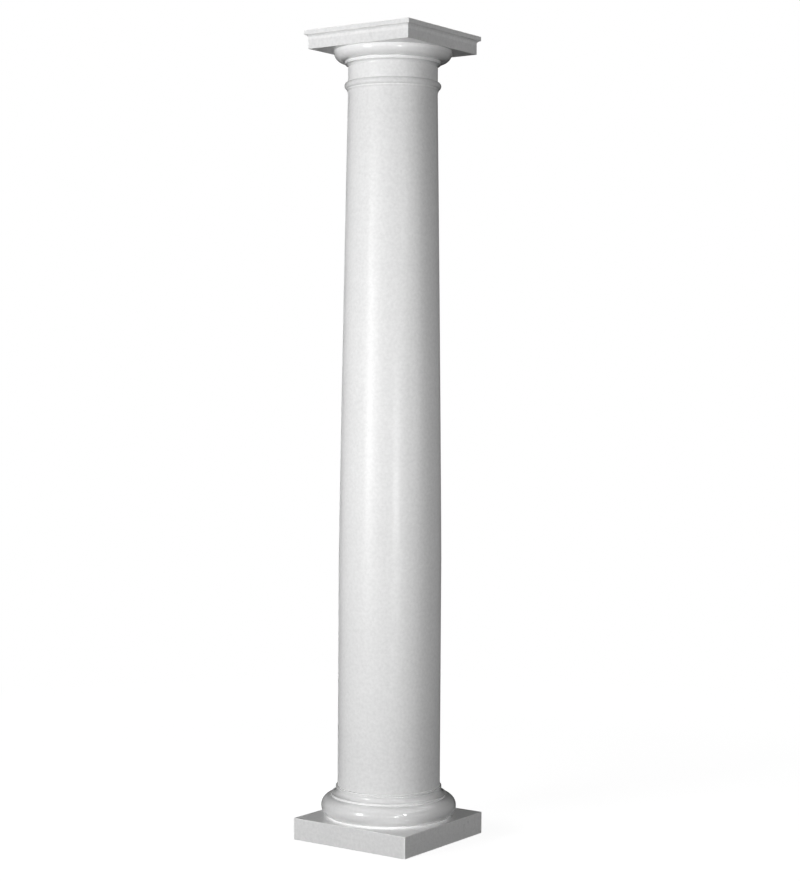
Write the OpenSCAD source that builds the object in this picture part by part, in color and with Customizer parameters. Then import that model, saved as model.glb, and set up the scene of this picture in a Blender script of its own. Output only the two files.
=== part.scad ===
// Smooth round column of the plain Roman Doric kind, standing on a square plinth.
// Millimetres. +Z is up, and the faces of the two square blocks look along X and Y.
// The origin is on the ground, under the middle of the plinth.

/* [Overall] */
// Height from the ground to the top of the abacus
column_h = 2438; // [2200:1:3000]

/* [Plinth] */
// Side of the square plinth
plinth_w = 412; // [400:1:440]
// Height of the plinth
plinth_h = 66; // [50:1:90]

/* [Base ring] */
// Radius of the torus, the half-round that swells over the plinth
torus_r = 31.5; // [26:0.5:36]
// Height of the flat fillet that lies on the torus
base_fillet_h = 6; // [4:0.5:10]
// Radius of the hollow between that fillet and the lip
cavetto_r = 13.5; // [8:0.5:16]
// Height of the lip that the shaft stands on
lip_h = 10; // [6:0.5:14]
// Radius of the small cove where the torus meets the plinth
toe_r = 6; // [4:0.5:7]

/* [Shaft] */
// Radius of the shaft at its foot
foot_r = 156; // [145:0.5:160]
// Radius of the shaft at its neck
neck_r = 135.6; // [130:0.1:140]
// Share of the shaft's height that stays straight before the taper starts
straight_share = 0.33; // [0.2:0.01:0.5]
// How the taper swells: 1 is a straight cone, and more is a fuller curve
entasis = 1.12; // [1:0.01:1.6]

/* [Neck] */
// Plain height between the astragal and the capital
neck_h = 45; // [30:1:70]
// Radius of the astragal, the bead under the neck
astragal_r = 10.5; // [8:0.5:12]
// Height of the flat collar under the astragal
collar_h = 4.5; // [3:0.5:8]
// How far that collar stands out from the shaft
collar_out = 3.4; // [2:0.1:5]
// Height of the curve that leads from the shaft out to the collar
apophyge_h = 11; // [8:0.5:16]

/* [Echinus] */
// Radius of the hollow under the capital's fillet
cap_cove_r = 8.5; // [6:0.5:10]
// Height of the capital's fillet
cap_fillet_h = 8; // [5:0.5:12]
// Radius of the echinus, the quarter-round under the abacus
ovolo_r = 28; // [24:0.5:30]
// How far the echinus stands out from the fillet before it curves up
ovolo_step = 6; // [3:0.5:8]
// Height above the widest line of the echinus, where it curls back in
ovolo_curl = 4; // [2:0.5:6]

/* [Abacus] */
// Side of the abacus, over its crown
abacus_w = 384; // [380:1:420]
// Height of the abacus
abacus_h = 55; // [45:1:75]
// Height of the crown fillet round its top
crown_h = 13.5; // [8:0.5:16]
// Radius of the cove under that crown
crown_cove_r = 9.5; // [6:0.5:12]

/* [Hidden] */

$fn = 144;
paint = "#f2f2f0";

// gap under the torus, which the toe closes, and the toe's upright edge
torus_gap = 1.5;
toe_edge = 1;
// how far one band of a profile runs on inside the next
bury = 2;
// how far each moulding of the base steps in from the one under it
base_step = 1;
// how far the lip stands out from the foot of the shaft
lip_out = 5;

// rings of the base, from the plinth up
lip_r = foot_r + lip_out;
base_fillet_r = lip_r + cavetto_r + base_step;
torus_axis_r = base_fillet_r - 1.5 * base_step;
torus_z = torus_gap + torus_r;
base_fillet_z = torus_z + torus_r;
cavetto_z = base_fillet_z + base_fillet_h;
base_h = cavetto_z + cavetto_r + lip_h;
toe_outer_r = torus_axis_r + torus_r * 2 / 3;
toe_inner_r = toe_outer_r - toe_r;

// rings of the capital, from the neck up
cap_fillet_r = neck_r + cap_cove_r;
ovolo_axis_r = cap_fillet_r + ovolo_step;
ovolo_z = cap_cove_r + cap_fillet_h + ovolo_r;
echinus_h = ovolo_z + ovolo_curl;

// levels of the stacked pieces
base_z = plinth_h;
shaft_z = base_z + base_h;
echinus_z = column_h - abacus_h - echinus_h;
abacus_z = column_h - abacus_h;
shaft_h = echinus_z - shaft_z;

// levels inside the shaft, from its foot
astragal_z = shaft_h - neck_h - astragal_r;
collar_z = astragal_z - astragal_r - collar_h + bury;
apophyge_z = collar_z - apophyge_h;
straight_h = apophyge_z * straight_share;
taper_steps = 24;

// radius of the bare shaft at a height from its foot
function shaft_radius(z) =
    let (rise = max(0, z - straight_h) / (apophyge_z - straight_h))
    foot_r - (foot_r - neck_r) * pow(min(1, rise), entasis);

// radius of the arc that leaves the shaft upright and ends at the collar
apophyge_r = (apophyge_h * apophyge_h + collar_out * collar_out) / (2 * collar_out);

// a flat band of a turned profile, from one height to another
module band(r, z0, z1) {
    translate([0, z0])
        square([r, z1 - z0]);
}

// a hollow quarter-round, from radius r out to r + hollow, that spreads upwards or downwards
module hollow_quarter(r, z, hollow, spreads_down = false) {
    difference() {
        band(r + hollow, z, z + hollow);
        translate([r + hollow, spreads_down ? z + hollow : z])
            circle(r = hollow);
    }
}

module plinth() {
    color(paint)
        translate([-plinth_w / 2, -plinth_w / 2, 0])
            cube([plinth_w, plinth_w, plinth_h]);
}

// toe, torus, fillet, hollow and lip, one over the other
module base_ring_profile() {
    band(toe_outer_r, 0, toe_edge);
    hollow_quarter(toe_inner_r, toe_edge, toe_r, spreads_down = true);
    band(torus_axis_r, 0, base_fillet_z);
    translate([torus_axis_r, torus_z])
        circle(r = torus_r);
    band(base_fillet_r, base_fillet_z - bury, cavetto_z);
    hollow_quarter(lip_r, cavetto_z, cavetto_r, spreads_down = true);
    band(lip_r, cavetto_z, base_h);
}

module base_ring() {
    color(paint)
        translate([0, 0, base_z])
            rotate_extrude()
                base_ring_profile();
}

// hollow curve that leads from the top of the taper out to the collar
module apophyge_profile() {
    difference() {
        band(neck_r + collar_out, apophyge_z, collar_z);
        translate([neck_r + apophyge_r, apophyge_z])
            circle(r = apophyge_r);
    }
}

// tapering shaft, collar, astragal and plain neck
module shaft_profile() {
    taper = [
        for (i = [0:taper_steps])
            let (z = straight_h + (apophyge_z - straight_h) * i / taper_steps)
            [shaft_radius(z), z]
    ];
    polygon(concat([[0, 0], [foot_r, 0]], taper, [[0, apophyge_z]]));
    apophyge_profile();
    band(neck_r + collar_out, collar_z, collar_z + collar_h);
    band(neck_r, apophyge_z - bury, shaft_h);
    translate([neck_r, astragal_z])
        circle(r = astragal_r);
}

module shaft() {
    color(paint)
        translate([0, 0, shaft_z])
            rotate_extrude()
                shaft_profile();
}

// hollow, fillet and quarter-round, one over the other
module echinus_profile() {
    hollow_quarter(neck_r, 0, cap_cove_r);
    band(cap_fillet_r, cap_cove_r, ovolo_z);
    band(ovolo_axis_r, cap_cove_r + cap_fillet_h, echinus_h);
    intersection() {
        band(ovolo_axis_r + ovolo_r, 0, echinus_h);
        translate([ovolo_axis_r, ovolo_z])
            circle(r = ovolo_r);
    }
}

module echinus() {
    color(paint)
        translate([0, 0, echinus_z])
            rotate_extrude()
                echinus_profile();
}

// elevation of one face of the abacus: block, cove and crown
module abacus_face() {
    cove_z = abacus_h - crown_h - crown_cove_r;
    difference() {
        translate([-abacus_w / 2, cove_z])
            square([abacus_w, crown_cove_r + crown_h]);
        for (side = [-1, 1])
            translate([side * abacus_w / 2, cove_z])
                circle(r = crown_cove_r);
    }
    translate([crown_cove_r - abacus_w / 2, 0])
        square([abacus_w - 2 * crown_cove_r, abacus_h - crown_h / 2]);
}

module abacus_slab() {
    rotate([90, 0, 0])
        translate([0, 0, -abacus_w / 2])
            linear_extrude(height = abacus_w)
                abacus_face();
}

// two slabs crossed at right angles leave the mouldings mitred at the corners
module abacus() {
    color(paint)
        translate([0, 0, abacus_z])
            intersection() {
                abacus_slab();
                rotate([0, 0, 90])
                    abacus_slab();
            }
}

plinth();
base_ring();
shaft();
echinus();
abacus();
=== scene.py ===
"""The finished surfaces of a white porch column of the plain Doric kind, in a small studio.

Everything is in metres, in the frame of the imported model: +Z is up, the origin is on the ground
under the middle of the plinth, and the square pieces look along X and Y.
"""

import logging
import math
from abc import ABC, abstractmethod
from dataclasses import dataclass, field, replace
from enum import Enum
from functools import cached_property
from typing import Any

import bmesh
import bpy
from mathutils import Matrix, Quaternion, Vector


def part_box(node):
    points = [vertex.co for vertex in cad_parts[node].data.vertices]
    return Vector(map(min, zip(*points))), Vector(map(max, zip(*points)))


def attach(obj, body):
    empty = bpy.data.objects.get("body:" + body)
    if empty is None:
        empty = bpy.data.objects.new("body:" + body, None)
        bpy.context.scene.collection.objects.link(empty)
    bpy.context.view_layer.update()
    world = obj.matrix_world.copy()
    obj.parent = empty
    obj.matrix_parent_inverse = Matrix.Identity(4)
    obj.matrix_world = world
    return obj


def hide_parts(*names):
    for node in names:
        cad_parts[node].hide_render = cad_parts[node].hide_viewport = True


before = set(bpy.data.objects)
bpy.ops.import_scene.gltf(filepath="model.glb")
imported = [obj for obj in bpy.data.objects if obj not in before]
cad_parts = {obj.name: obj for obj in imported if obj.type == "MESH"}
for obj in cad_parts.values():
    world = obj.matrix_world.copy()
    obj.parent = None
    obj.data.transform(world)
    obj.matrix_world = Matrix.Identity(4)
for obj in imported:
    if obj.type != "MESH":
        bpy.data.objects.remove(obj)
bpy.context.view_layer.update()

BODY = "root"
QUARTER_TURN = math.pi / 2.0

Point = tuple[float, float]
Colour = tuple[float, float, float, float]

BRIGHT: Colour = (1.0, 1.0, 1.0, 1.0)

log = logging.getLogger("column")


class Slot(Enum):
    """Material slots of the record; each piece is given one, but its finish comes from its paint.
    """

    BLOCK = "block_paint"
    MOULDING = "moulding_paint"
    SHAFT = "shaft_paint"


# ---- Node trees ----


class Value:
    """A number that comes out of a socket. Sums written on it add Math nodes to its tree."""

    def __init__(self, tree: "Tree", socket: bpy.types.NodeSocket) -> None:
        """Keeps the socket and the tree that it belongs to.

        Args:
            tree: the tree that new nodes go to.
            socket: the output socket that carries the number.
        """
        self.tree = tree
        self.socket = socket

    def _math(self, operation: str, *terms: Any) -> "Value":
        """Adds one Math node.

        Args:
            operation: the node's operation.
            terms: numbers or values for its sockets, in order.

        Returns:
            The node's result.
        """
        node = self.tree.add("ShaderNodeMath", {"operation": operation}, dict(enumerate(terms)))
        return Value(self.tree, node.outputs[0])

    def __add__(self, other: Any) -> "Value":
        """The sum of this value and another."""
        return self._math("ADD", self, other)

    def __radd__(self, other: Any) -> "Value":
        """The sum of a number and this value."""
        return self._math("ADD", other, self)

    def __sub__(self, other: Any) -> "Value":
        """This value less another."""
        return self._math("SUBTRACT", self, other)

    def __rsub__(self, other: Any) -> "Value":
        """A number less this value."""
        return self._math("SUBTRACT", other, self)

    def __mul__(self, other: Any) -> "Value":
        """This value times another."""
        return self._math("MULTIPLY", self, other)

    def __rmul__(self, other: Any) -> "Value":
        """A number times this value."""
        return self._math("MULTIPLY", other, self)

    def __truediv__(self, other: Any) -> "Value":
        """This value over another."""
        return self._math("DIVIDE", self, other)

    def __rtruediv__(self, other: Any) -> "Value":
        """A number over this value."""
        return self._math("DIVIDE", other, self)

    def __pow__(self, other: Any) -> "Value":
        """This value raised to a power."""
        return self._math("POWER", self, other)

    def __rpow__(self, other: Any) -> "Value":
        """A number raised to this value."""
        return self._math("POWER", other, self)

    def at_least(self, low: Any) -> "Value":
        """The larger of this value and a limit."""
        return self._math("MAXIMUM", self, low)

    def at_most(self, high: Any) -> "Value":
        """The smaller of this value and a limit."""
        return self._math("MINIMUM", self, high)

    def share(self) -> "Value":
        """This value, held between 0 and 1."""
        return self.at_least(0.0).at_most(1.0)


class Tree:
    """A node tree that is filled by one method."""

    MIDDLE = 0.5

    def __init__(self, nodes: bpy.types.NodeTree) -> None:
        """Empties the tree and keeps it.

        Args:
            nodes: the tree to fill.
        """
        self.nodes = nodes
        nodes.nodes.clear()

    def add(self, kind: str, settings: dict[str, Any], sockets: dict[Any, Any]) -> bpy.types.Node:
        """Adds one node, sets it and feeds it.

        Args:
            kind: the node's type.
            settings: its properties, set before its sockets are fed.
            sockets: for each input's name or number, a plain value, a Value, an output socket,
                or a node whose first output is meant.

        Returns:
            The new node.
        """
        node = self.nodes.nodes.new(kind)
        for name, setting in settings.items():
            setattr(node, name, setting)
        for name, given in sockets.items():
            source = given.socket if isinstance(given, Value) else given
            if isinstance(source, bpy.types.Node):
                source = source.outputs[0]
            if isinstance(source, bpy.types.NodeSocket):
                self.nodes.links.new(source, node.inputs[name])
            else:
                node.inputs[name].default_value = source
        return node

    def value(self, node: bpy.types.Node, output: Any = 0) -> Value:
        """One output of a node, as a Value."""
        return Value(self, node.outputs[output])

    @cached_property
    def place(self) -> bpy.types.NodeSocket:
        """The object's own coordinates, in metres."""
        return self.add("ShaderNodeTexCoord", {}, {}).outputs["Object"]

    def grey(self, tone: Value) -> bpy.types.NodeSocket:
        """A grey as bright as a value says."""
        return self.add("ShaderNodeCombineXYZ", {}, {0: tone, 1: tone, 2: tone}).outputs[0]

    def noise(self, place: Any, size: float, detail: float = 2.0) -> Value:
        """Adds a noise pattern.

        Args:
            place: the coordinates that it reads, in metres.
            size: the size of its grains, in metres.
            detail: how many finer layers lie on it.

        Returns:
            The noise, which is MIDDLE on average.
        """
        sockets = {"Vector": place, "Scale": 1.0 / size, "Detail": detail}
        return self.value(self.add("ShaderNodeTexNoise", {}, sockets))

    def drift(self, place: Any, size: float, amount: float, detail: float = 2.0) -> Value:
        """Adds a noise pattern that strays from nought to either side.

        Args:
            place: the coordinates that it reads, in metres.
            size: the size of its grains, in metres.
            amount: the whole span of the drift.
            detail: how many finer layers lie on it.

        Returns:
            The drift.
        """
        return (self.noise(place, size, detail) - self.MIDDLE) * amount


def new_material(name: str) -> tuple[bpy.types.Material, Tree]:
    """Adds a material to the file.

    Args:
        name: its name.

    Returns:
        The material and its empty tree.
    """
    made = bpy.data.materials.new(name)
    made.use_nodes = True
    return made, Tree(made.node_tree)


# ---- Finishes ----


class Measure(Enum):
    """What a stripe is measured along."""

    UP = "height over the ground"
    OUT = "distance from the axis"


@dataclass(frozen=True)
class GlossAndPaintedHighlightStripe:
    """A stretch of a piece where its paint lies glossier, or is painted brighter as a painted
    highlight.

    Args:
        low: where it starts, in metres.
        high: where it ends.
        lift: how much brighter the paint is painted there, as a share; it is a painted highlight.
        gloss: how much more clear gloss lies on it.
        along: what it is measured along.
    """

    low: float
    high: float
    # The lift is a painted highlight: the colour is multiplied up there.
    lift: float = 0.0
    gloss: float = 0.0
    along: Measure = Measure.UP

    EDGE = 0.0015

    def cover(self, tree: Tree) -> Value:
        """How far a place lies in the stripe.

        Args:
            tree: the material's tree.

        Returns:
            1 inside, 0 outside, and a short slope at either edge.
        """
        split = tree.add("ShaderNodeSeparateXYZ", {}, {0: tree.place})
        x, y, at = (tree.value(split, i) for i in range(3))
        if self.along is Measure.OUT:
            at = (x * x + y * y) ** 0.5
        above = ((at - self.low) / self.EDGE + 0.5).share()
        below = ((self.high - at) / self.EDGE + 0.5).share()
        return above * below


@dataclass(frozen=True)
class WhitePaint:
    """A coat of white paint on moulded composite.

    Args:
        name: the material's name.
        colour: its plain colour.
        roughness: how matt it is on average.
        peel_size: size of the dimples of its orange peel, in metres.
        peel_depth: depth of those dimples, in metres.
        coat: weight of the clear gloss over the colour.
        cloud: how far the tone drifts over a hand's breadth.
        fleck: how far it drifts over a fingertip's breadth.
        streak: how far it drifts in level streaks, as a wide brush leaves them.
        stripes: the places where it lies glossier or carries a painted highlight.
    """

    name: str
    colour: Colour
    roughness: float
    peel_size: float
    peel_depth: float
    coat: float
    cloud: float
    fleck: float
    streak: float
    stripes: tuple[GlossAndPaintedHighlightStripe, ...] = ()

    CLOUD_SIZE = 0.22
    FLECK_SIZE = 0.009
    FLECK_DETAIL = 3.0
    STREAK_SIZE = 0.05
    STREAK_FLATNESS = 7.0
    SMEAR_SIZE = CLOUD_SIZE / 3.0
    SMEAR = 0.12
    IOR = 1.5
    COAT_ROUGHNESS = 0.08

    def material(self) -> bpy.types.Material:
        """Makes the material, or finds it where it was made before.

        Returns:
            The material.
        """
        found = bpy.data.materials.get(self.name)
        if found is not None:
            return found
        made, tree = new_material(self.name)
        sockets = {
            "Base Color": self._colour(tree),
            "Roughness": self._roughness(tree),
            "Normal": self._peel(tree),
            "IOR": self.IOR,
            "Coat Weight": self._coat(tree),
            "Coat Roughness": self.COAT_ROUGHNESS,
        }
        shader = tree.add("ShaderNodeBsdfPrincipled", {}, sockets)
        tree.add("ShaderNodeOutputMaterial", {}, {"Surface": shader})
        return made

    def _colour(self, tree: Tree) -> bpy.types.NodeSocket:
        """The paint's colour, with slow clouds, fine flecks, level streaks and the stripes'
        painted highlights.

        Args:
            tree: the material's tree.

        Returns:
            The socket that carries the colour.
        """
        flatten = {0: tree.place, 1: (1.0, 1.0, self.STREAK_FLATNESS)}
        flat = tree.add("ShaderNodeVectorMath", {"operation": "MULTIPLY"}, flatten)
        tone = 1.0 + tree.drift(tree.place, self.CLOUD_SIZE, self.cloud)
        tone = tone + tree.drift(tree.place, self.FLECK_SIZE, self.fleck, self.FLECK_DETAIL)
        tone = tone + tree.drift(flat, self.STREAK_SIZE, self.streak)
        # The stripes' lifts are painted highlights, multiplied into the colour.
        for stripe in self.stripes:
            if stripe.lift:
                tone = tone * (1.0 + stripe.cover(tree) * stripe.lift)
        settings = {"data_type": "RGBA", "blend_type": "MULTIPLY"}
        mixed = tree.add("ShaderNodeMix", settings, {0: 1.0, 6: self.colour, 7: tree.grey(tone)})
        return mixed.outputs[2]

    def _roughness(self, tree: Tree) -> Value:
        """Roughness that wanders a little with the brush and the hand.

        Args:
            tree: the material's tree.

        Returns:
            The roughness.
        """
        return self.roughness + tree.drift(tree.place, self.SMEAR_SIZE, self.SMEAR)

    def _coat(self, tree: Tree) -> float | Value:
        """How much clear gloss lies on the colour.

        Args:
            tree: the material's tree.

        Returns:
            The weight of the coat, a plain number where no stripe has more.
        """
        coat: float | Value = self.coat
        for stripe in self.stripes:
            if stripe.gloss:
                coat = coat + stripe.cover(tree) * stripe.gloss
        return coat

    def _peel(self, tree: Tree) -> bpy.types.NodeSocket:
        """Orange peel of the coat.

        Args:
            tree: the material's tree.

        Returns:
            The socket that carries the bumped normal.
        """
        dimples = tree.noise(tree.place, self.peel_size)
        bump = tree.add("ShaderNodeBump", {}, {"Height": dimples, "Distance": self.peel_depth})
        return bump.outputs[0]


PLAIN_WHITE: Colour = (0.80, 0.80, 0.80, 1.0)
# Painted shade: a darker white for the plinth, for the light that falls off towards the ground.
PAINTED_SHADE_WHITE: Colour = (0.76, 0.76, 0.76, 1.0)

BLOCK_PAINT = WhitePaint(
    name="block_white",
    colour=PLAIN_WHITE,
    roughness=0.30,
    peel_size=0.006,
    peel_depth=0.0001,
    coat=0.2,
    cloud=0.10,
    fleck=0.26,
    streak=0.06,
)
# The plinth takes the darker white, as painted shade.
PLINTH_PAINTED_SHADE = replace(BLOCK_PAINT, name="plinth_painted_shade_white", colour=PAINTED_SHADE_WHITE)
MOULDING_PAINT = WhitePaint(
    name="moulding_white",
    colour=PLAIN_WHITE,
    roughness=0.22,
    peel_size=0.014,
    peel_depth=0.00005,
    coat=0.9,
    cloud=0.08,
    fleck=0.12,
    streak=0.10,
)
SHAFT_PAINT = WhitePaint(
    name="shaft_white",
    colour=PLAIN_WHITE,
    roughness=0.33,
    peel_size=0.007,
    peel_depth=0.0002,
    coat=0.0,
    cloud=0.06,
    fleck=0.24,
    streak=0.03,
)


# ---- Outlines ----


@dataclass(frozen=True)
class Arc:
    """A round stretch of an outline.

    Args:
        centre: the middle of its circle.
        radius: the radius of its circle.
        start: the angle of its first point, in degrees, from straight out towards straight up.
        end: the angle of its last point.
    """

    centre: Point
    radius: float
    start: float
    end: float

    def length(self) -> float:
        """How long the stretch is."""
        return abs(math.radians(self.end - self.start)) * self.radius

    def at(self, share: float) -> Point:
        """The point that lies a share of the way along.

        Args:
            share: that share, from 0 to 1.

        Returns:
            The point.
        """
        angle = math.radians(self.start + (self.end - self.start) * share)
        out = self.centre[0] + self.radius * math.cos(angle)
        return out, self.centre[1] + self.radius * math.sin(angle)

    def until(self, other: "Arc") -> tuple["Arc", "Arc"]:
        """Trims this arc's end and another's start to where they cross.

        Args:
            other: the arc that carries on from this one.

        Returns:
            Both arcs, trimmed.
        """
        here, there = Vector(self.centre), Vector(other.centre)
        apart = (there - here).length
        along = (self.radius**2 - other.radius**2 + apart**2) / (2 * apart)
        aside = math.sqrt(self.radius**2 - along**2)
        way = (there - here).normalized()
        cross = here + way * along + Vector((-way.y, way.x)) * aside
        end = math.degrees(math.atan2(cross.y - here.y, cross.x - here.x))
        start = math.degrees(math.atan2(cross.y - there.y, cross.x - there.x))
        return replace(self, end=end % 360), replace(other, start=start)


@dataclass
class Outline:
    """Half of a piece's outline, from the middle of its underside up to the middle of its top.

    A point is its distance out from the axis and its height. A corner can be softened, as paint
    softens an arris or fills an inner angle.

    Args:
        step: the longest chord along a round stretch.
        points: the points so far.
        corners: the softening of each point that has one.
    """

    step: float = 0.001
    points: list[Point] = field(default_factory=list)
    corners: dict[int, float] = field(default_factory=dict)

    SAME = 0.000001
    SUPPORT = 0.0012
    CORNER_STEPS = 4
    FEWEST_CHORDS = 6

    def to(self, out: float, up: float, soft: float = 0.0) -> "Outline":
        """Draws a straight stretch.

        Args:
            out: its end's distance from the axis.
            up: its end's height.
            soft: the softening of the corner at its end.

        Returns:
            The outline itself.
        """
        self.points.append((out, up))
        if soft:
            self.corners[len(self.points) - 1] = soft
        return self

    def sweep(self, arc: Arc, soft: float = 0.0, soft_end: float = 0.0) -> "Outline":
        """Draws a round stretch, after a straight one where its start lies further on.

        Args:
            arc: the stretch.
            soft: the softening of the corner at its start.
            soft_end: the softening of the corner at its end.

        Returns:
            The outline itself.
        """
        chords = max(self.FEWEST_CHORDS, round(arc.length() / self.step))
        first, *rest = (arc.at(i / chords) for i in range(chords + 1))
        if math.dist(first, self.points[-1]) < self.SAME:
            self.points.pop()
        self.to(*first, soft)
        for point in rest:
            self.to(*point)
        if soft_end:
            self.corners[len(self.points) - 1] = soft_end
        return self

    def drawn(self) -> list[Point]:
        """The whole outline, with its corners softened and a point beside each one.

        Returns:
            The points, from the underside up.
        """
        made: list[Point] = []
        for i, point in enumerate(self.points):
            if i in self.corners:
                made += self._softened(i, self.corners[i])
            else:
                made.append(point)
        return made

    def _softened(self, index: int, radius: float) -> list[Point]:
        """The points that stand for one softened corner.

        Args:
            index: the corner's place in the outline.
            radius: how softly it turns.

        Returns:
            A short curve that touches both stretches, with a point before and after it where
            there is room, so that the flats beside it shade as flats.
        """
        before, corner, after = (Vector(self.points[i]) for i in (index - 1, index, index + 1))
        back, ahead = before - corner, after - corner
        turn = math.pi - back.angle(ahead)
        reach = radius * math.tan(turn / 2.0)
        first = corner + back.normalized() * min(reach, back.length / 2.0)
        last = corner + ahead.normalized() * min(reach, ahead.length / 2.0)
        made = []
        if back.length > 2.0 * (reach + self.SUPPORT):
            made.append(corner + back.normalized() * (reach + self.SUPPORT))
        for i in range(self.CORNER_STEPS + 1):
            t = i / self.CORNER_STEPS
            made.append(first * (1 - t) ** 2 + corner * 2 * t * (1 - t) + last * t**2)
        if ahead.length > 2.0 * (reach + self.SUPPORT):
            made.append(corner + ahead.normalized() * (reach + self.SUPPORT))
        return [(p.x, p.y) for p in made]


# ---- Pieces ----


def add_object(name: str, mesh: bpy.types.Mesh) -> bpy.types.Object:
    """Puts a mesh into the scene as an object at the origin.

    Args:
        name: the object's name.
        mesh: its mesh.

    Returns:
        The object.
    """
    made = bpy.data.objects.new(name, mesh)
    bpy.context.scene.collection.objects.link(made)
    return made


@dataclass
class Piece(ABC):
    """One physical piece of the column, which stands for the CAD node of the same place.

    Args:
        node: the CAD node that it stands for.
        slot: the record's slot for its finish; it is not used.
        paint: its finish.
        soft: how softly its arrises turn.
    """

    node: str
    slot: Slot
    paint: WhitePaint
    soft: float = 0.001

    def __post_init__(self) -> None:
        """Reads the piece's place from the frame."""
        low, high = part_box(self.node)
        self.low = low.z
        self.high = high.z
        self.reach = high.x

    @abstractmethod
    def outline(self) -> Outline:
        """The piece's outline, which each piece draws for itself."""

    @abstractmethod
    def shape(self) -> bpy.types.Object:
        """The piece's finished mesh, as an object. Each way of making has its own."""

    def stripes(self) -> tuple[GlossAndPaintedHighlightStripe, ...]:
        """The places where the piece's paint lies glossier or carries a painted highlight. Here
        there are none.
        """
        return ()

    def finish(self) -> bpy.types.Material:
        """The piece's paint, with its own stripes of gloss and painted highlight."""
        name = self.paint.name + "_" + self.node
        return replace(self.paint, name=name, stripes=self.stripes()).material()

    def build(self) -> bpy.types.Object:
        """Makes the piece, dresses it and sets it on the frame.

        Returns:
            The finished object.
        """
        made = self.shape()
        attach(made, BODY)
        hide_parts(self.node)
        faces = len(made.data.polygons)
        log.info("%s: %d faces, from %.3f to %.3f m", made.name, faces, self.low, self.high)
        return made


@dataclass
class TurnedPiece(Piece):
    """A piece that is round about the axis.

    Args:
        segments: how many flats its circle has.
    """

    segments: int = 256

    def taper(self) -> dict[str, float]:
        """The taper of the piece. Here it has none.

        Returns:
            A number for each of the lathe's inputs of that name.
        """
        return {
            "Foot Radius": 0.0,
            "Neck Radius": 0.0,
            "Taper Start": self.low,
            "Taper End": self.high,
            "Entasis": 1.0,
        }

    def shape(self) -> bpy.types.Object:
        """Turns the outline about the axis.

        Returns:
            The turned object, as a plain mesh.
        """
        line = bpy.data.meshes.new(self.node + "_outline")
        points = [(out, 0.0, up) for out, up in self.outline().drawn()]
        line.from_pydata(points, [(i, i + 1) for i in range(len(points) - 1)], [])
        carrier = add_object(self.node + "_carrier", line)
        modifier = carrier.modifiers.new("turning", "NODES")
        modifier.node_group = Lathe.tree()
        settings = {"Segments": self.segments, "Finish": self.finish(), **self.taper()}
        for socket in modifier.node_group.interface.items_tree:
            if socket.in_out == "INPUT" and socket.name in settings:
                modifier[socket.identifier] = settings[socket.name]
        evaluated = carrier.evaluated_get(bpy.context.evaluated_depsgraph_get())
        mesh = bpy.data.meshes.new_from_object(evaluated)
        mesh.name = self.node + "_finished"
        carrier.modifiers.remove(modifier)
        bpy.data.objects.remove(carrier)
        return add_object(self.node + "_finished", mesh)


class Lathe:
    """The node tree that turns an outline into a round piece, with the taper of a shaft."""

    NAME = "lathe"
    CIRCLE = 1.0
    WELD = 0.00001
    NUMBERS = ("Foot Radius", "Neck Radius", "Taper Start", "Taper End", "Entasis")

    @classmethod
    def tree(cls) -> bpy.types.NodeTree:
        """Makes the tree, or finds it where it was made before.

        Returns:
            The node group for a Geometry Nodes modifier.
        """
        found = bpy.data.node_groups.get(cls.NAME)
        if found is not None:
            return found
        group = bpy.data.node_groups.new(cls.NAME, "GeometryNodeTree")
        sockets = group.interface
        sockets.new_socket("Outline", in_out="INPUT", socket_type="NodeSocketGeometry")
        sockets.new_socket("Segments", in_out="INPUT", socket_type="NodeSocketInt")
        for name in cls.NUMBERS:
            sockets.new_socket(name, in_out="INPUT", socket_type="NodeSocketFloat")
        sockets.new_socket("Finish", in_out="INPUT", socket_type="NodeSocketMaterial")
        sockets.new_socket("Piece", in_out="OUTPUT", socket_type="NodeSocketGeometry")
        cls._fill(Tree(group))
        return group

    @classmethod
    def _fill(cls, tree: Tree) -> None:
        """Adds the tree's nodes.

        Args:
            tree: the empty tree, whose group has its sockets already.
        """
        given = tree.add("NodeGroupInput", {}, {})
        foot, neck, start, end, entasis = (tree.value(given, name) for name in cls.NUMBERS)
        position = tree.add("GeometryNodeInputPosition", {}, {})
        split = tree.add("ShaderNodeSeparateXYZ", {}, {0: position})
        out, up = tree.value(split, 0), tree.value(split, 2)

        rise = ((up - start) / (end - start)).share()
        radius = (out - (foot - neck) * rise**entasis).at_least(0.0)
        # Along the circle, a profile's X leads away from its middle and its Y leads down.
        place = tree.add("ShaderNodeCombineXYZ", {}, {0: radius - cls.CIRCLE, 1: 0.0 - up})

        line = tree.add("GeometryNodeMeshToCurve", {}, {"Mesh": given.outputs["Outline"]})
        line = tree.add("GeometryNodeSetPosition", {}, {"Geometry": line, "Position": place})
        size = {"Resolution": given.outputs["Segments"], "Radius": cls.CIRCLE}
        circle = tree.add("GeometryNodeCurvePrimitiveCircle", {}, size)
        turned = tree.add("GeometryNodeCurveToMesh", {}, {"Curve": circle, "Profile Curve": line})
        weld = {"Geometry": turned, "Distance": cls.WELD}
        welded = tree.add("GeometryNodeMergeByDistance", {}, weld)
        outward = tree.add("GeometryNodeFlipFaces", {}, {"Mesh": welded})
        smooth = tree.add("GeometryNodeSetShadeSmooth", {}, {"Geometry": outward})
        real = tree.add("GeometryNodeRealizeInstances", {}, {"Geometry": smooth})
        finish = {"Geometry": real, "Material": given.outputs["Finish"]}
        dressed = tree.add("GeometryNodeSetMaterial", {}, finish)
        tree.add("NodeGroupOutput", {}, {"Piece": dressed})


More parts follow.
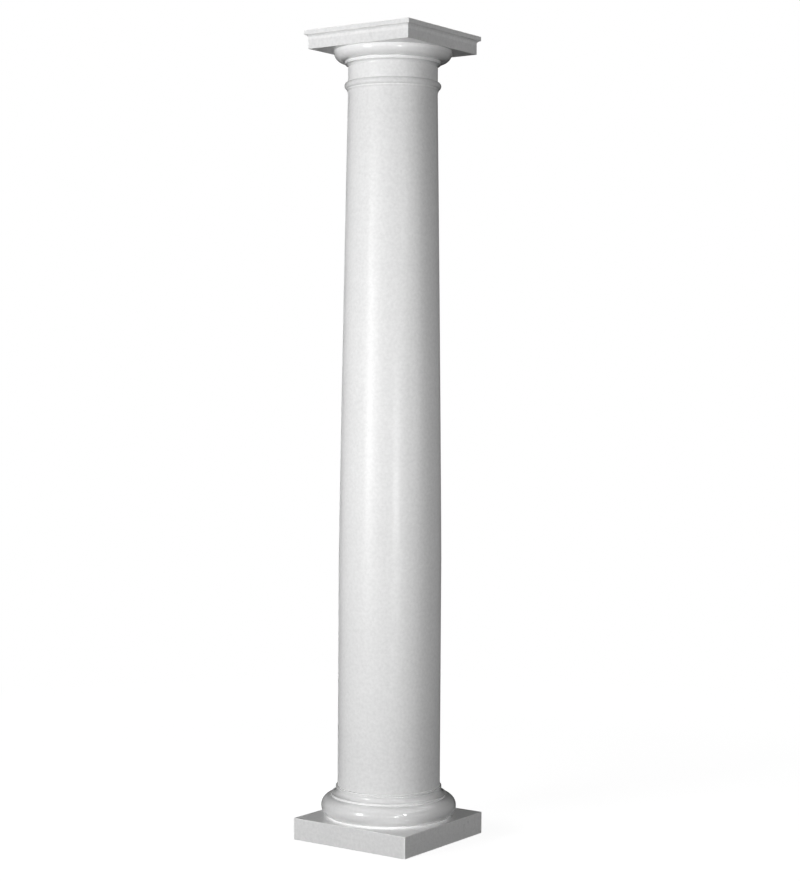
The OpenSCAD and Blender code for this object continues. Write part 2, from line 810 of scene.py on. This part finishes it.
@dataclass
class BaseRing(TurnedPiece):
    """The turned base: toe, torus, fillet, hollow and lip.

    Args:
        torus: radius of the torus.
        gap: gap under the torus, behind the toe.
        toe: radius of the toe's cove.
        toe_edge: height of the toe's upright edge.
        fillet: height of the fillet on the torus.
        fillet_step: how far the fillet stands out from the hollow's foot.
        fillet_out: how far it stands out from the middle of the torus.
        hollow: radius of the hollow over the fillet.
        bead: height of the flat bead at the top of the lip.
        quirk: height of the groove under that bead.
        quirk_in: depth of that groove.
    """

    torus: float = 0.0315
    gap: float = 0.0015
    toe: float = 0.006
    toe_edge: float = 0.001
    fillet: float = 0.006
    fillet_step: float = 0.001
    fillet_out: float = 0.0015
    hollow: float = 0.0135
    bead: float = 0.0045
    quirk: float = 0.0025
    quirk_in: float = 0.0015

    def __post_init__(self) -> None:
        """Reads the place from the frame, and works out the levels of the fillet from it."""
        super().__post_init__()
        self.torus_up = self.low + self.gap + self.torus
        self.fillet_low = self.torus_up + self.torus
        self.fillet_top = self.fillet_low + self.fillet

    def stripes(self) -> tuple[GlossAndPaintedHighlightStripe, ...]:
        """The toe, the fillet and the bead, painted brighter than the rest as painted highlights.

        Returns:
            The stripes.
        """
        return (
            # Painted highlights on the toe, the fillet and the bead.
            GlossAndPaintedHighlightStripe(self.low, self.low + self.toe_edge + self.toe, lift=0.19),
            GlossAndPaintedHighlightStripe(self.fillet_low, self.fillet_top, lift=0.16),
            GlossAndPaintedHighlightStripe(self.high - self.bead, self.high, lift=0.08),
        )

    def outline(self) -> Outline:
        """Draws the base from the plinth up to the foot of the shaft.

        Returns:
            The outline.
        """
        axis = self.reach - self.torus
        toe_out = axis + self.torus * 2 / 3
        fillet_out = axis + self.fillet_out
        hollow_out = fillet_out - self.fillet_step
        lip_out = hollow_out - self.hollow
        meets_fillet = math.degrees(math.acos(self.fillet_out / self.torus))
        toe = Arc((toe_out, self.low + self.toe_edge + self.toe), self.toe, 270, 180)
        torus = Arc((axis, self.torus_up), self.torus, -90, meets_fillet)
        toe, torus = toe.until(torus)

        line = Outline().to(0.0, self.low).to(toe_out, self.low, self.toe_edge / 3)
        line.sweep(toe, soft=self.toe_edge / 3)
        line.sweep(torus, soft=self.soft, soft_end=self.soft)
        line.to(fillet_out, self.fillet_top, self.soft)
        line.sweep(Arc((hollow_out, self.fillet_top + self.hollow), self.hollow, 270, 180))
        bead_low = self.high - self.bead
        for out, up in (
            (lip_out, bead_low - self.quirk),
            (lip_out - self.quirk_in, bead_low - self.quirk * 2 / 3),
            (lip_out - self.quirk_in, bead_low - self.quirk / 3),
            (lip_out, bead_low),
        ):
            line.to(out, up, self.quirk / 6)
        line.to(lip_out, self.high, self.soft)
        return line.to(0.0, self.high)


@dataclass
class Shaft(TurnedPiece):
    """The tapering shaft, with its collar, its astragal and the plain neck over it.

    Args:
        neck_out: radius of the neck.
        neck: plain height of the neck.
        bead: radius of the astragal.
        collar: height of the collar, up to where it runs into the bead.
        collar_out: how far the collar stands out.
        sweep_up: height of the curve that leads out to the collar.
        straight: share of the height under that curve that has no taper.
        entasis: how full the taper is; 1 would be a straight cone.
        rings: rings along the taper.
    """

    neck_out: float = 0.1356
    neck: float = 0.045
    bead: float = 0.0105
    collar: float = 0.0045
    collar_out: float = 0.0034
    sweep_up: float = 0.011
    straight: float = 0.33
    entasis: float = 1.12
    rings: int = 60

    BURY = 0.002

    def __post_init__(self) -> None:
        """Reads the place from the frame, and works out the levels of the neck from it."""
        super().__post_init__()
        self.bead_up = self.high - self.neck - self.bead
        self.collar_up = self.bead_up - self.bead - self.collar + self.BURY
        self.taper_end = self.collar_up - self.sweep_up
        self.taper_start = self.low + (self.taper_end - self.low) * self.straight

    def stripes(self) -> tuple[GlossAndPaintedHighlightStripe, ...]:
        """The moulded band under the neck, which is glossier, with a painted highlight on the
        collar in it and a faint one on the neck above.

        Returns:
            The stripes.
        """
        return (
            # The band's gloss is real; the lifts on the collar and the neck are painted
            # highlights.
            GlossAndPaintedHighlightStripe(self.collar_up - self.collar, self.bead_up + self.bead, gloss=0.7),
            GlossAndPaintedHighlightStripe(self.collar_up, self.collar_up + self.collar, lift=0.12),
            GlossAndPaintedHighlightStripe(self.bead_up + self.bead, self.high, lift=0.03),
        )

    def taper(self) -> dict[str, float]:
        """The taper of the shaft.

        Returns:
            A number for each of the lathe's inputs of that name.
        """
        return {
            "Foot Radius": self.reach,
            "Neck Radius": self.neck_out,
            "Taper Start": self.taper_start,
            "Taper End": self.taper_end,
            "Entasis": self.entasis,
        }

    def outline(self) -> Outline:
        """Draws the shaft as thick as its foot all the way up, for the tree to taper.

        Returns:
            The outline.
        """
        curve = (self.sweep_up**2 + self.collar_out**2) / (2 * self.collar_out)
        meets_curve = 180 - math.degrees(math.asin(self.sweep_up / curve))
        meets_bead = -math.degrees(math.acos(self.collar_out / self.bead))
        to_collar = Arc((self.reach + curve, self.taper_end), curve, 180, meets_curve)
        bead = Arc((self.reach, self.bead_up), self.bead, meets_bead, 90)

        line = Outline().to(0.0, self.low).to(self.reach, self.low, self.soft)
        line.to(self.reach, self.taper_start)
        for ring in range(1, self.rings):
            share = ring / self.rings
            line.to(self.reach, self.taper_start + (self.taper_end - self.taper_start) * share)
        line.sweep(to_collar, soft_end=self.soft / 2)
        line.sweep(bead, soft=self.soft / 2, soft_end=self.soft / 2)
        line.to(self.reach, self.high, self.soft)
        return line.to(0.0, self.high)


@dataclass
class Echinus(TurnedPiece):
    """The turned capital: a hollow, a fillet and the quarter-round under the abacus.

    Args:
        hollow: radius of the hollow over the neck.
        fillet: height of the fillet.
        quarter_round: radius of the quarter-round.
        step: how far the quarter-round starts out from the fillet.
        curl: height over its widest line.
        brim: height of the band at its top that carries the strongest painted highlight.
    """

    hollow: float = 0.0085
    fillet: float = 0.008
    quarter_round: float = 0.028
    step: float = 0.006
    curl: float = 0.004
    brim: float = 0.010

    def stripes(self) -> tuple[GlossAndPaintedHighlightStripe, ...]:
        """Painted highlights on the foot, the fillet and the quarter-round, strongest at its brim.

        Returns:
            The stripes.
        """
        fillet_up = self.low + self.hollow
        round_low = fillet_up + self.fillet
        return (
            # Painted highlights: each lift brightens the paint of one band.
            GlossAndPaintedHighlightStripe(self.low, self.low + self.hollow / 3, lift=0.08),
            GlossAndPaintedHighlightStripe(fillet_up, round_low, lift=0.15),
            GlossAndPaintedHighlightStripe(round_low, self.high, lift=0.10),
            GlossAndPaintedHighlightStripe(self.high - self.brim, self.high, lift=0.06),
        )

    def outline(self) -> Outline:
        """Draws the capital from the neck up to the abacus.

        Returns:
            The outline.
        """
        round_out = self.reach - self.quarter_round
        fillet_out = round_out - self.step
        fillet_up = self.low + self.hollow
        round_up = fillet_up + self.fillet + self.quarter_round
        meets_top = math.degrees(math.asin(self.curl / self.quarter_round))
        hollow = Arc((fillet_out, self.low), self.hollow, 180, 90)
        quarter_round = Arc((round_out, round_up), self.quarter_round, -90, meets_top)

        line = Outline().to(0.0, self.low)
        line.sweep(hollow, soft=self.soft, soft_end=self.soft / 2)
        line.to(fillet_out, fillet_up + self.fillet, self.soft / 2)
        line.sweep(quarter_round, soft_end=self.soft)
        return line.to(0.0, self.high)


@dataclass
class SquarePiece(Piece):
    """A piece that is square about the axis, with its mouldings mitred at the corners.

    Args:
        soft: how softly its arrises turn.
        corner: radius of its upright arrises.
    """

    soft: float = 0.0018
    corner: float = 0.0018

    CORNER_STEPS = 5
    SUPPORT = 0.002

    def shape(self) -> bpy.types.Object:
        """Stacks rounded squares as wide as the outline says, and skins them.

        Returns:
            The object.
        """
        shell = bmesh.new()
        rings = []
        for out, up in self.outline().drawn():
            if out > 0.0:
                rings.append([shell.verts.new((x, y, up)) for x, y in self._square(out)])
        for lower, upper in zip(rings, rings[1:]):
            for i, vertex in enumerate(lower):
                shell.faces.new((lower[i - 1], vertex, upper[i], upper[i - 1]))
        shell.faces.new(reversed(rings[0]))
        shell.faces.new(rings[-1])
        for face in shell.faces:
            face.smooth = True
        mesh = bpy.data.meshes.new(self.node + "_finished")
        shell.to_mesh(mesh)
        shell.free()
        mesh.materials.append(self.finish())
        return add_object(mesh.name, mesh)

    def _square(self, half: float) -> list[Point]:
        """The plan of the piece at one level.

        Args:
            half: half of its side there.

        Returns:
            The points of a square with rounded corners, anticlockwise, with a point beside each
            corner so that the faces shade flat.
        """
        radius = min(self.corner, half / 2.0)
        inner = half - radius
        made = []
        for quarter in range(4):
            plan = [(half, inner - self.SUPPORT)]
            for i in range(self.CORNER_STEPS + 1):
                angle = i / self.CORNER_STEPS * QUARTER_TURN
                plan.append((inner + radius * math.cos(angle), inner + radius * math.sin(angle)))
            plan.append((inner - self.SUPPORT, half))
            cos, sin = math.cos(quarter * QUARTER_TURN), math.sin(quarter * QUARTER_TURN)
            made += [(x * cos - y * sin, x * sin + y * cos) for x, y in plan]
        return made


@dataclass
class Plinth(SquarePiece):
    """The plain square block on the ground.

    Args:
        arris: how far in from its corner and down from its top its paint is painted brighter, as a
            painted highlight.
    """

    arris: float = 0.0022

    def stripes(self) -> tuple[GlossAndPaintedHighlightStripe, ...]:
        """The arrises, painted brighter than the faces as a painted highlight.

        Returns:
            The stripes.
        """
        corner = self.reach * math.sqrt(2.0)
        under_top = self.high - self.soft / 4
        return (
            # Painted highlights along the top arris and the upright corners.
            GlossAndPaintedHighlightStripe(self.high - self.arris, under_top, lift=0.10),
            GlossAndPaintedHighlightStripe(corner - self.arris, corner, lift=0.24, along=Measure.OUT),
        )

    def outline(self) -> Outline:
        """Draws the block's half section.

        Returns:
            The outline.
        """
        line = Outline().to(0.0, self.low).to(self.reach, self.low, self.soft)
        return line.to(self.reach, self.high, self.soft).to(0.0, self.high)


@dataclass
class Abacus(SquarePiece):
    """The square slab on the echinus, with a cove and a crown round its top.

    Args:
        crown: height of the crown fillet.
        cove: radius of the cove under it.
    """

    crown: float = 0.0135
    cove: float = 0.0095

    def stripes(self) -> tuple[GlossAndPaintedHighlightStripe, ...]:
        """The crown and the line under the cove, painted brighter than the rest as painted
        highlights.

        Returns:
            The stripes.
        """
        cove_low = self.high - self.crown - self.cove
        return (
            # Painted highlights on the crown and under the cove.
            GlossAndPaintedHighlightStripe(self.high - self.crown, self.high, lift=0.05),
            GlossAndPaintedHighlightStripe(cove_low - self.cove / 2, cove_low + self.cove / 3, lift=0.08),
        )

    def outline(self) -> Outline:
        """Draws the slab's half section.

        Returns:
            The outline.
        """
        block = self.reach - self.cove
        cove_up = self.high - self.crown - self.cove

        line = Outline().to(0.0, self.low).to(block, self.low, self.soft)
        line.sweep(Arc((self.reach, cove_up), self.cove, 180, 90), soft_end=self.soft / 2)
        return line.to(self.reach, self.high, self.soft).to(0.0, self.high)


# ---- Studio ----


def round_the_column(bearing: float, away: float, up: float) -> Vector:
    """A place beside the column.

    Args:
        bearing: its direction in degrees: 0 is towards -Y, and 90 towards +X.
        away: its distance from the axis.
        up: its height.

    Returns:
        The place.
    """
    angle = math.radians(bearing)
    return Vector((away * math.sin(angle), -away * math.cos(angle), up))


@dataclass(frozen=True)
class Softbox:
    """One soft lamp, which faces the column's axis.

    Args:
        name: the lamp's name.
        bearing: its direction from the column, in degrees.
        away: its distance from the axis.
        up: the height of its middle.
        width: its width.
        height: its height.
        power: its power in watts.
        mirrored: whether it shows in the gloss of the paint.
        lights: whether it lights the paint's colour; a small glint in the gloss doesn't.
        aims_at: the height on the axis that it faces.
        spread: how wide its light fans out, in degrees.
    """

    name: str
    bearing: float
    away: float
    up: float
    width: float
    height: float
    power: float
    mirrored: bool = True
    lights: bool = True
    aims_at: float = 1.2
    spread: float = 180.0

    def build(self) -> bpy.types.Object:
        """Hangs the lamp.

        Returns:
            The lamp's object.
        """
        lamp = bpy.data.lights.new(self.name, "AREA")
        lamp.shape = "RECTANGLE"
        lamp.size = self.width
        lamp.size_y = self.height
        lamp.energy = self.power
        lamp.spread = math.radians(self.spread)
        made = bpy.data.objects.new(self.name, lamp)
        made.location = round_the_column(self.bearing, self.away, self.up)
        aim = Vector((0.0, 0.0, self.aims_at)) - made.location
        made.rotation_mode = "QUATERNION"
        made.rotation_quaternion = aim.to_track_quat("-Z", "Y")
        made.visible_camera = False
        made.visible_glossy = self.mirrored
        made.visible_diffuse = self.lights
        bpy.context.scene.collection.objects.link(made)
        return made


@dataclass(frozen=True)
class Viewpoint:
    """Where the camera stands and how it looks.

    Args:
        bearing: its direction from the column, in degrees.
        away: its distance from the axis.
        eye: its height.
        aims_at: the height that it looks at, over the axis.
        aside: how far to the right of the axis it looks.
        lean: how far it is rolled, in degrees.
        lens: its focal length in millimetres.
        sensor: its sensor's long side in millimetres.
    """

    bearing: float = 35.5
    away: float = 5.887
    eye: float = 1.406
    aims_at: float = 1.2105
    aside: float = 0.028
    lean: float = 0.356
    lens: float = 79.27
    sensor: float = 36.0

    def build(self) -> bpy.types.Object:
        """Sets up the scene's camera.

        Returns:
            The camera's object.
        """
        camera = bpy.data.cameras.new("camera")
        camera.lens = self.lens
        camera.sensor_width = self.sensor
        made = bpy.data.objects.new("camera", camera)
        made.location = round_the_column(self.bearing, self.away, self.eye)
        right = round_the_column(self.bearing + 90.0, 1.0, 0.0)
        target = right * self.aside + Vector((0.0, 0.0, self.aims_at))
        look = (target - made.location).to_track_quat("-Z", "Y")
        made.rotation_mode = "QUATERNION"
        made.rotation_quaternion = look @ Quaternion((0.0, 0.0, 1.0), math.radians(self.lean))
        bpy.context.scene.collection.objects.link(made)
        bpy.context.scene.camera = made
        return made


@dataclass(frozen=True)
class DarkCloth:
    """A dark cloth laid and hung round the set, which only shows in the gloss of the paint.

    It draws the thin dark rims that set a white piece off against a white ground. It takes no
    light away and casts no shadow.

    Args:
        hole: radius of the hole in its middle, which lies under the plinth.
        away: the distance from the axis at which it hangs.
        height: the height that it hangs from.
        tone: how dark the cloth is.
    """

    hole: float = 0.1
    away: float = 7.5
    height: float = 8.0
    tone: float = 0.02

    SEGMENTS = 64
    LIFT = 0.002

    def build(self) -> bpy.types.Object:
        """Lays and hangs the cloth.

        Returns:
            The cloth's object.
        """
        cloth = bmesh.new()
        rings = []
        for away, up in ((self.hole, self.LIFT), (self.away, self.LIFT), (self.away, self.height)):
            bearings = (360.0 * i / self.SEGMENTS for i in range(self.SEGMENTS))
            rings.append([cloth.verts.new(round_the_column(b, away, up)) for b in bearings])
        for inner, outer in zip(rings, rings[1:]):
            for i, vertex in enumerate(inner):
                cloth.faces.new((inner[i - 1], vertex, outer[i], outer[i - 1]))
        mesh = bpy.data.meshes.new("dark_cloth")
        cloth.to_mesh(mesh)
        cloth.free()
        dye, tree = new_material("dark_cloth")
        black: Colour = (self.tone, self.tone, self.tone, 1.0)
        matt = tree.add("ShaderNodeBsdfDiffuse", {}, {"Color": black})
        tree.add("ShaderNodeOutputMaterial", {}, {"Surface": matt})
        mesh.materials.append(dye)
        made = add_object("dark_cloth", mesh)
        made.visible_camera = False
        made.visible_diffuse = False
        made.visible_transmission = False
        made.visible_shadow = False
        return made


@dataclass
class Studio:
    """The floor, the air and the lamps round the column.

    Args:
        floor_size: radius of the floor.
        floor_up: its height, a hair under the plinth so that the two faces don't fight.
        floor_tone: how pale the floor is to the light that it hands on.
        floor_paint: how pale it is where it is seen.
        floor_glow: how much of the floor that is seen is plain white by the column.
        floor_lift: how much brighter that white is there, to make up for the shadows.
        fade: the distances from the axis between which it turns all white.
        air: strength of the light that comes from all round.
        lamps: the soft lamps.
        cloth: the dark cloth.
    """

    floor_size: float = 14.0
    floor_up: float = -0.0005
    floor_tone: float = 0.10
    floor_paint: float = 0.80
    floor_glow: float = 0.70
    floor_lift: float = 0.28
    fade: tuple[float, float] = (0.8, 3.2)
    air: float = 0.08
    lamps: tuple[Softbox, ...] = (
        Softbox(
            "key", bearing=-5.5, away=6.0, up=1.72, width=3.0, height=1.6, power=61.0,
            mirrored=False, aims_at=1.57, spread=86.0,
        ),
        Softbox(
            "fill", bearing=94.0, away=4.8, up=1.48, width=2.2, height=1.4, power=10.5,
            mirrored=False, spread=72.0,
        ),
        Softbox("strip", bearing=-14.5, away=4.0, up=1.45, width=0.9, height=1.5, power=38.0),
        Softbox("front", bearing=48.5, away=4.2, up=0.92, width=0.6, height=0.5, power=13.5),
        Softbox(
            "side", bearing=64.5, away=4.2, up=2.6, width=0.8, height=0.6, power=1.3,
            aims_at=0.15, spread=80.0,
        ),
        Softbox(
            "front_glint", bearing=48.5, away=4.2, up=0.92, width=0.4, height=0.3, power=11.0,
            lights=False,
        ),
        Softbox(
            "side_glint", bearing=64.5, away=4.2, up=2.4, width=0.5, height=0.4, power=2.1,
            lights=False, aims_at=0.15, spread=50.0,
        ),
        Softbox(
            "back", bearing=230.0, away=30.0, up=1.25, width=4.0, height=3.0, power=370.0,
            mirrored=False, spread=40.0,
        ),
        Softbox(
            "top", bearing=0.0, away=0.0, up=5.4, width=0.2, height=0.2, power=3.0,
            mirrored=False, aims_at=0.0, spread=40.0,
        ),
    )
    cloth: DarkCloth = DarkCloth()

    FLOOR_SEGMENTS = 96

    def build(self) -> None:
        """Lays the floor, fills the air, hangs the cloth and sets the lamps."""
        self._floor()
        self._air()
        self.cloth.build()
        for lamp in self.lamps:
            lamp.build()
        bpy.context.scene.view_settings.view_transform = "Standard"

    @staticmethod
    def _seen(tree: Tree) -> Value:
        """Whether a ray comes from the eye, straight, off gloss or through glass.

        Args:
            tree: the tree that asks.

        Returns:
            1 for such a ray, and 0 for any other.
        """
        path = tree.add("ShaderNodeLightPath", {}, {})
        rays = ("Is Camera Ray", "Is Glossy Ray", "Is Transmission Ray")
        camera, glossy, through = (tree.value(path, ray) for ray in rays)
        return (camera + glossy + through).at_most(1.0)

    def _floor(self) -> None:
        """Lays a round pale floor that keeps the column's shadow and is white to the eye."""
        disc = bmesh.new()
        bmesh.ops.create_circle(
            disc, cap_ends=True, segments=self.FLOOR_SEGMENTS, radius=self.floor_size
        )
        mesh = bpy.data.meshes.new("floor")
        disc.to_mesh(mesh)
        disc.free()
        for vertex in mesh.vertices:
            vertex.co.z = self.floor_up
        mesh.materials.append(self._floor_paint())
        add_object("floor", mesh)

    def _floor_paint(self) -> bpy.types.Material:
        """Makes the floor's finish, which glows where it is seen.

        Returns:
            The material.
        """
        paint, tree = new_material("floor")
        away = tree.add("ShaderNodeVectorMath", {"operation": "LENGTH"}, {0: tree.place})
        near, far = self.fade
        white = ((tree.value(away, "Value") - near) / (far - near)).share()
        seen = self._seen(tree)
        tone = self.floor_tone + seen * (self.floor_paint - self.floor_tone)
        matt = tree.add("ShaderNodeBsdfDiffuse", {}, {"Color": tree.grey(tone)})
        lift = 1.0 + (1.0 - white) * self.floor_lift
        glow = tree.add("ShaderNodeEmission", {}, {"Color": BRIGHT, "Strength": lift})
        share = seen * (self.floor_glow + white * (1.0 - self.floor_glow))
        both = tree.add("ShaderNodeMixShader", {}, {0: share, 1: matt, 2: glow})
        tree.add("ShaderNodeOutputMaterial", {}, {"Surface": both})
        return paint

    def _air(self) -> None:
        """Fills the air with even light, and makes it white to the eye."""
        world = bpy.data.worlds.new("air")
        world.use_nodes = True
        tree = Tree(world.node_tree)
        seen = self._seen(tree)
        strength = seen + (1.0 - seen) * self.air
        sky = tree.add("ShaderNodeBackground", {}, {"Color": BRIGHT, "Strength": strength})
        tree.add("ShaderNodeOutputWorld", {}, {"Surface": sky})
        bpy.context.scene.world = world


def main() -> None:
    """Builds the column and its studio."""
    logging.basicConfig(level=logging.INFO, format="%(name)s: %(message)s", force=True)
    pieces: list[Piece] = [
        Plinth("plinth", Slot.BLOCK, PLINTH_PAINTED_SHADE),
        BaseRing("base_ring", Slot.MOULDING, MOULDING_PAINT),
        Shaft("shaft", Slot.SHAFT, SHAFT_PAINT),
        Echinus("echinus", Slot.MOULDING, MOULDING_PAINT),
        Abacus("abacus", Slot.BLOCK, BLOCK_PAINT),
    ]
    for piece in pieces:
        piece.build()
    Studio().build()
    Viewpoint().build()


if __name__ == "__main__":
    main()
